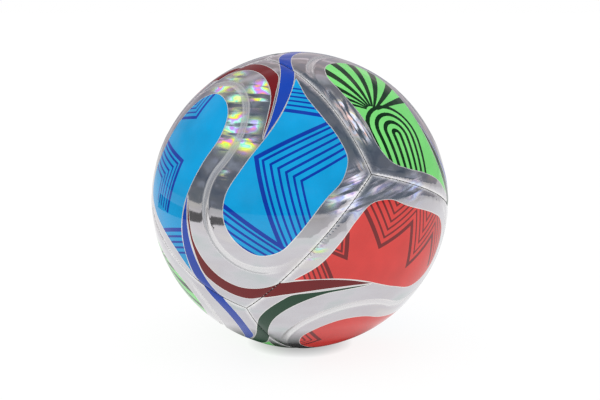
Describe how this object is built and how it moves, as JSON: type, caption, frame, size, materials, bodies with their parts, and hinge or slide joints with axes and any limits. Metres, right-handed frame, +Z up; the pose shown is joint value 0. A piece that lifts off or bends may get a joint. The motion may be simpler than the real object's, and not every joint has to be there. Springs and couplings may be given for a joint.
{
  "type": "soccer ball",
  "caption": "Inflated machine-stitched football with curved square panels in printed silver foil, each with an S-shaped groove, sewn seams and a recessed needle valve.",
  "frame": {"origin": "centre of the ball", "axes": "+Z up as the ball rests, -Y towards the side where a blue panel faces left, a red one lower right and a green one upper right; the valve is at the rear"},
  "size_m": [0.2206, 0.2196, 0.22],
  "materials": {
    "print_blue": "silver holographic foil film with blue print, glossy",
    "print_red": "silver holographic foil film with red print, glossy",
    "print_green": "silver holographic foil film with green print, glossy",
    "foam": "closed-cell foam",
    "weave": "woven polyester-cotton",
    "thread": "waxed polyester thread",
    "bladder_rubber": "moulded butyl",
    "valve_rubber": "moulded natural rubber",
    "core_rubber": "moulded butyl"
  },
  "bodies": {
    "root": {"skin_blue_front": "print_blue", "skin_blue_rear": "print_blue", "skin_red_front": "print_red", "skin_red_rear": "print_red", "skin_green_upper": "print_green", "skin_green_lower": "print_green", "foam_blue_front": "foam", "foam_blue_rear": "foam", "foam_red_front": "foam", "foam_red_rear": "foam", "foam_green_upper": "foam", "foam_green_lower": "foam", "backing_blue_front": "weave", "backing_blue_rear": "weave", "backing_red_front": "weave", "backing_red_rear": "weave", "backing_green_upper": "weave", "backing_green_lower": "weave", "thread_blue_front_red_front": "thread", "thread_blue_front_red_rear": "thread", "thread_blue_rear_red_front": "thread", "thread_blue_rear_red_rear": "thread", "thread_red_front_green_upper": "thread", "thread_red_front_green_lower": "thread", "thread_red_rear_green_upper": "thread", "thread_red_rear_green_lower": "thread", "thread_green_upper_blue_front": "thread", "thread_green_upper_blue_rear": "thread", "thread_green_lower_blue_front": "thread", "thread_green_lower_blue_rear": "thread", "bladder": "bladder_rubber", "valve_body": "valve_rubber", "valve_core": "core_rubber", "balance_patch": "valve_rubber"}
  },
  "joints": []
}
